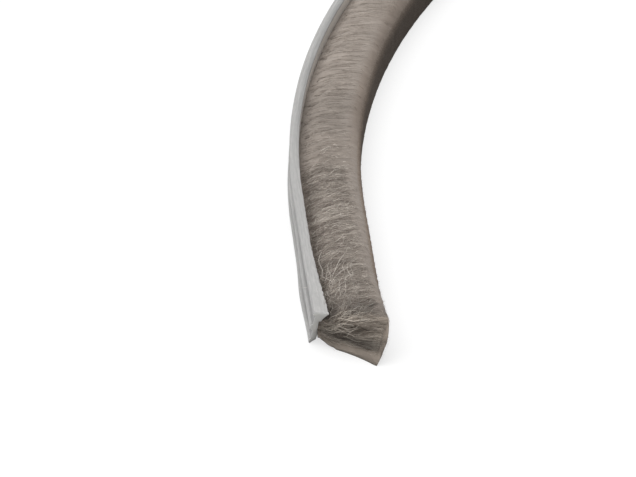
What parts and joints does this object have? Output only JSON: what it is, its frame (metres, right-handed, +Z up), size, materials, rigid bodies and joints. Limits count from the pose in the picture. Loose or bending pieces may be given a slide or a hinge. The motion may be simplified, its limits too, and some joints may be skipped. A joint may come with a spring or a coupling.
{
  "type": "brush seal strip",
  "caption": "Flexible brush seal strip with a ribbed grey plastic backing and dense taupe fibre pile, lying on its edge in an open curve.",
  "frame": {"origin": "on the floor, in the middle of the backing's lower edge face, half way along the straight stretch at the near cut end", "axes": "+Y along the straight stretch away from the near cut, +X from the back towards the pile tips, +Z up across the backing's width"},
  "size_m": [0.4375, 0.4266, 0.007],
  "materials": {
    "backing_plastic": "satin",
    "pile_fibre": "matte"
  },
  "bodies": {
    "root": {"backing": "backing_plastic", "pile": "pile_fibre"}
  },
  "joints": []
}
